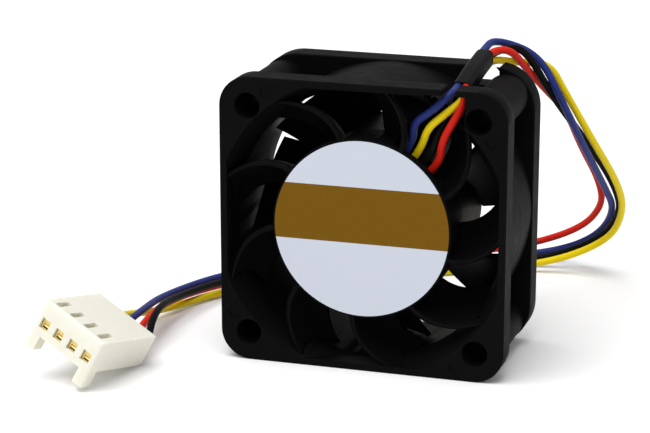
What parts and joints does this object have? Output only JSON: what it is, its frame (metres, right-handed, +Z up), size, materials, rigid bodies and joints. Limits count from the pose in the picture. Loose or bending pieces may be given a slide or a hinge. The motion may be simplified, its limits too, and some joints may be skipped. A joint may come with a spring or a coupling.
{
  "type": "dc cooling fan",
  "caption": "Square-framed axial cooling fan with swept guide vanes, a brushless ball-bearing motor, coloured leads and a white plug.",
  "frame": {"origin": "middle of the fan frame's lower edge, on the surface that it stands on", "axes": "+Z up, +Y along the fan axis from the label side to the inlet side, +X to the right seen from the label side"},
  "size_m": [0.0698, 0.08, 0.0428],
  "materials": {
    "black_plastic": "moulded black, matte",
    "label_film": "plain pale film with an ochre band",
    "brass": "plain brass",
    "steel": "plain steel",
    "magnet": "bonded ferrite, dark grey",
    "insulation": "natural nylon",
    "copper_wire": "enamelled copper wire",
    "board": "green solder mask",
    "capacitor_body": "fired ceramic",
    "ivory_plastic": "natural nylon, satin",
    "yellow_wire": "vinyl insulation",
    "blue_wire": "vinyl insulation",
    "red_wire": "vinyl insulation",
    "black_wire": "vinyl insulation"
  },
  "bodies": {
    "stator": {"frame": "black_plastic", "motor_base": "black_plastic", "label": "label_film", "bearing_tube": "brass", "stator_core": "steel", "front_insulator": "insulation", "rear_insulator": "insulation", "windings": "copper_wire", "winding_pins": "brass", "circuit_board": "board", "driver_chip": "black_plastic", "hall_sensor": "black_plastic", "chip_capacitors": "capacitor_body", "front_bearing_outer_ring": "steel", "front_bearing_shields": "steel", "rear_bearing_outer_ring": "steel", "rear_bearing_shields": "steel", "plug_housing": "ivory_plastic", "plug_terminals": "brass", "lead_sleeve": "black_wire", "lead_yellow": "yellow_wire", "lead_blue": "blue_wire", "lead_red": "red_wire", "lead_black": "black_wire"},
    "rotor": {"impeller": "black_plastic", "rotor_yoke": "steel", "magnet_ring": "magnet", "shaft_boss": "brass", "shaft": "steel", "shaft_washer": "insulation", "retaining_clip": "steel", "preload_spring": "steel", "front_bearing_inner_ring": "steel", "rear_bearing_inner_ring": "steel"},
    "front_ball_set": {"front_bearing_balls": "steel", "front_bearing_cage": "steel"},
    "rear_ball_set": {"rear_bearing_balls": "steel", "rear_bearing_cage": "steel"}
  },
  "joints": [
    {"name": "rotor_spin", "type": "hinge", "parent": "stator", "child": "rotor", "pos_m": [0, 0, 0.02], "axis": [0, 1, 0], "continuous": true},
    {"name": "front_ball_spin", "type": "hinge", "parent": "stator", "child": "front_ball_set", "pos_m": [0, 0, 0.02], "axis": [0, 1, 0], "continuous": true},
    {"name": "rear_ball_spin", "type": "hinge", "parent": "stator", "child": "rear_ball_set", "pos_m": [0, 0, 0.02], "axis": [0, 1, 0], "continuous": true}
  ],
  "couplings": [
    {"joint": "front_ball_spin", "follows": "rotor_spin", "ratio": 0.38},
    {"joint": "rear_ball_spin", "follows": "rotor_spin", "ratio": 0.38}
  ]
}
